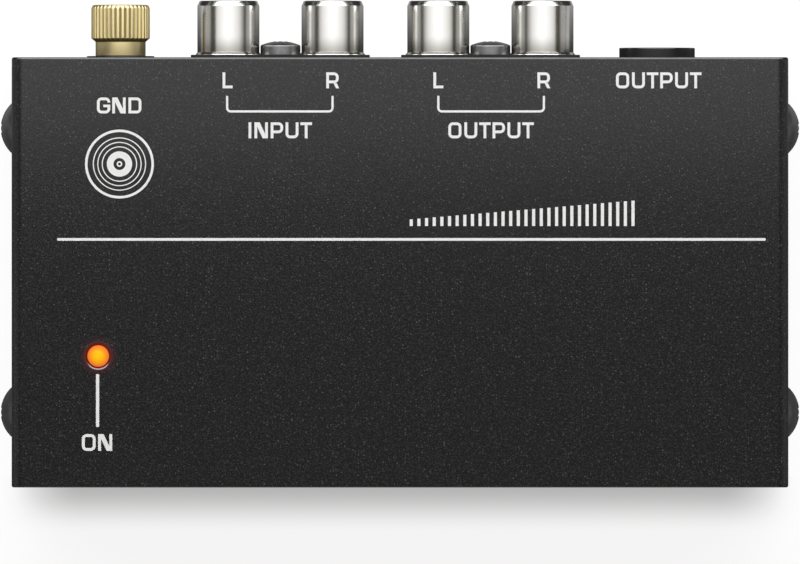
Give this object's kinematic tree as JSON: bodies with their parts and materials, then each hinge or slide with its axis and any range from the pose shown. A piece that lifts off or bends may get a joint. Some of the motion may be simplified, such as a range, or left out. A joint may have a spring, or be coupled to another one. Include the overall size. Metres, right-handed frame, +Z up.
{
  "type": "phono preamp",
  "caption": "Flat folded steel case with phono sockets, a line socket and a knurled ground post at the rear and a power lamp on top.",
  "frame": {"origin": "on the surface that the feet stand on, under the middle of the part's outline", "axes": "+X to the right seen from the front, +Y to the rear panel with its sockets, +Z up"},
  "size_m": [0.1072, 0.0654, 0.0329],
  "materials": {
    "black_case_paint": "fine textured powder coat",
    "black_screws": "black oxide",
    "bright_brass": "turned, lacquered",
    "dark_steel": "blackened",
    "bright_steel": "zinc plated",
    "nickel_plate": "nickel plated",
    "spring_contact": "tinned spring bronze",
    "black_plastic": "moulded, satin",
    "white_plastic": "moulded",
    "red_plastic": "moulded",
    "foot_rubber": "matt",
    "amber_lamp": "diffused lens, lit",
    "green_board": "solder mask",
    "can_sleeve": "heat-shrunk sleeve",
    "film_case": "moulded box",
    "resistor_body": "lacquered"
  },
  "bodies": {
    "case": {"amplifier_chips": "black_plastic", "board_posts": "bright_steel", "board_screws": "bright_steel", "chassis": "black_case_paint", "circuit_board": "green_board", "coupling_capacitors": "can_sleeve", "cover_screws": "black_screws", "film_capacitors": "film_case", "ground_lock_nut": "bright_steel", "ground_stud": "bright_brass", "ground_tag": "bright_steel", "input_centre_contacts": "spring_contact", "input_insulator_left": "white_plastic", "input_insulator_right": "red_plastic", "input_jack_block": "black_plastic", "input_jack_pins": "spring_contact", "input_jack_plate": "black_plastic", "input_jack_screw": "black_screws", "input_shell_left": "nickel_plate", "input_shell_right": "nickel_plate", "line_socket_body": "black_plastic", "line_socket_sleeve": "nickel_plate", "line_socket_terminals": "spring_contact", "output_centre_contacts": "spring_contact", "output_insulator_left": "white_plastic", "output_insulator_right": "red_plastic", "output_jack_block": "black_plastic", "output_jack_pins": "spring_contact", "output_jack_plate": "black_plastic", "output_jack_screw": "black_screws", "output_shell_left": "nickel_plate", "output_shell_right": "nickel_plate", "power_inlet_body": "black_plastic", "power_inlet_pin": "spring_contact", "power_inlet_terminal": "spring_contact", "power_lamp": "amber_lamp", "power_lamp_leads": "spring_contact", "power_lamp_spacer": "black_plastic", "resistors": "resistor_body", "rubber_feet": "foot_rubber", "supply_capacitors": "can_sleeve", "supply_diodes": "black_plastic", "top_cover": "black_case_paint", "voltage_regulator": "black_plastic"},
    "ground_washer": {"ground_washer": "dark_steel"},
    "ground_thumb_nut": {"ground_thumb_nut": "bright_brass"},
    "line_tip_leaf": {"line_tip_leaf": "spring_contact"},
    "line_ring_leaf": {"line_ring_leaf": "spring_contact"},
    "power_inlet_leaf": {"power_inlet_leaf": "spring_contact"}
  },
  "joints": [
    {"name": "ground_washer_slide", "type": "slide", "parent": "case", "child": "ground_washer", "axis": [0, 1, 0], "range_m": [0, 0.00245]},
    {"name": "ground_nut_turn", "type": "hinge", "parent": "ground_washer", "child": "ground_thumb_nut", "pos_m": [-0.03756, 0.02477, 0.0172], "axis": [0, 1, 0], "range_deg": [0, 1260]},
    {"name": "line_tip_leaf_bend", "type": "hinge", "parent": "case", "child": "line_tip_leaf", "pos_m": [0.04015, 0.0122, 0.0172], "axis": [0, 0, 1], "range_deg": [0, 3.6], "stiffness_Nm_per_rad": 0.2},
    {"name": "line_ring_leaf_bend", "type": "hinge", "parent": "case", "child": "line_ring_leaf", "pos_m": [0.02895, -0.0013, 0.0172], "axis": [0, 0, 1], "range_deg": [0, 4.9], "stiffness_Nm_per_rad": 0.2},
    {"name": "power_inlet_leaf_bend", "type": "hinge", "parent": "case", "child": "power_inlet_leaf", "pos_m": [-0.0404, -0.02133, 0.01075], "axis": [1, 0, 0], "range_deg": [0, 5], "stiffness_Nm_per_rad": 0.05}
  ],
  "couplings": [
    {"joint": "ground_nut_turn", "follows": "ground_washer_slide", "rad_per_m": 8976}
  ]
}
